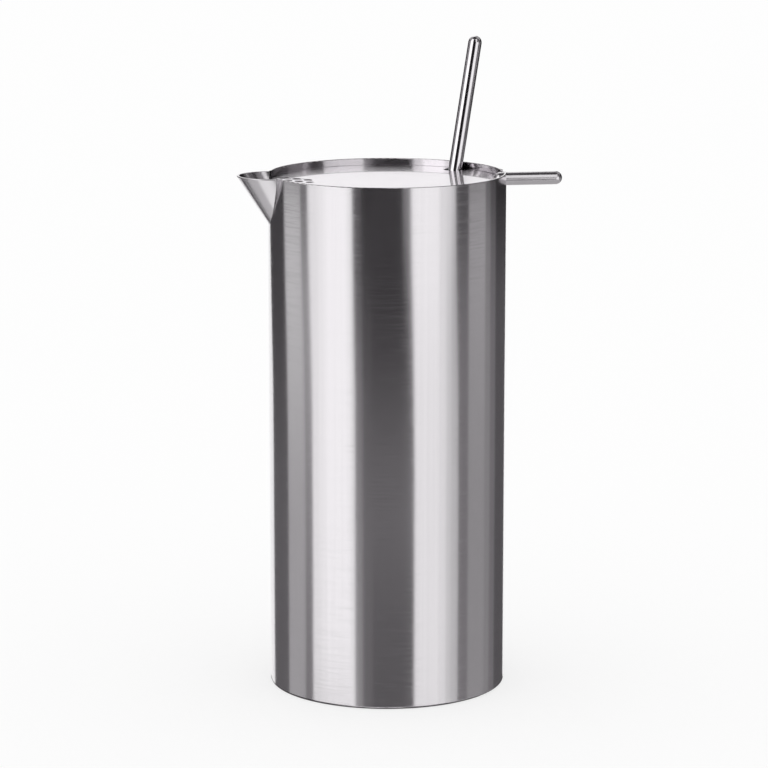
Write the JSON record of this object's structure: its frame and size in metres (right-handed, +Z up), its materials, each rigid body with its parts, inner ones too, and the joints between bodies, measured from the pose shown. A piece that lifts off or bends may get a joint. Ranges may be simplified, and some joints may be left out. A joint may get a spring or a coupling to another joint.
{
  "type": "cocktail pitcher",
  "caption": "Tall straight steel cocktail pitcher with a half-round pouring spout, a flat strainer lid with a lever, and a long stirring spoon standing in a notch of the lid.",
  "frame": {"origin": "centre of the flat underside, on the surface that the pitcher stands on", "axes": "+Z up along the tube, +X along the lever of the lid, -X along the spout"},
  "size_m": [0.1379, 0.1, 0.2724],
  "materials": {
    "satin_steel": "satin stainless steel, finely brushed round the tube",
    "polished_steel": "polished stainless steel"
  },
  "bodies": {
    "vessel": {"body_tube": "satin_steel", "base_disc": "satin_steel", "spout": "satin_steel", "lid_rest_far": "satin_steel", "lid_rest_spout_side": "satin_steel", "lid_rest_lever_side": "satin_steel"},
    "lid": {"strainer_lid": "polished_steel", "lid_lever": "polished_steel"},
    "spoon": {"spoon_rod": "polished_steel", "spoon_bowl": "polished_steel"}
  },
  "joints": [
    {"name": "lid_lift", "type": "slide", "parent": "vessel", "child": "lid", "axis": [0, 0, 1], "range_m": [0, 0.07]},
    {"name": "spoon_lift", "type": "slide", "parent": "vessel", "child": "spoon", "axis": [0.1789, 0.156, 0.9714], "range_m": [0, 0.16]}
  ]
}
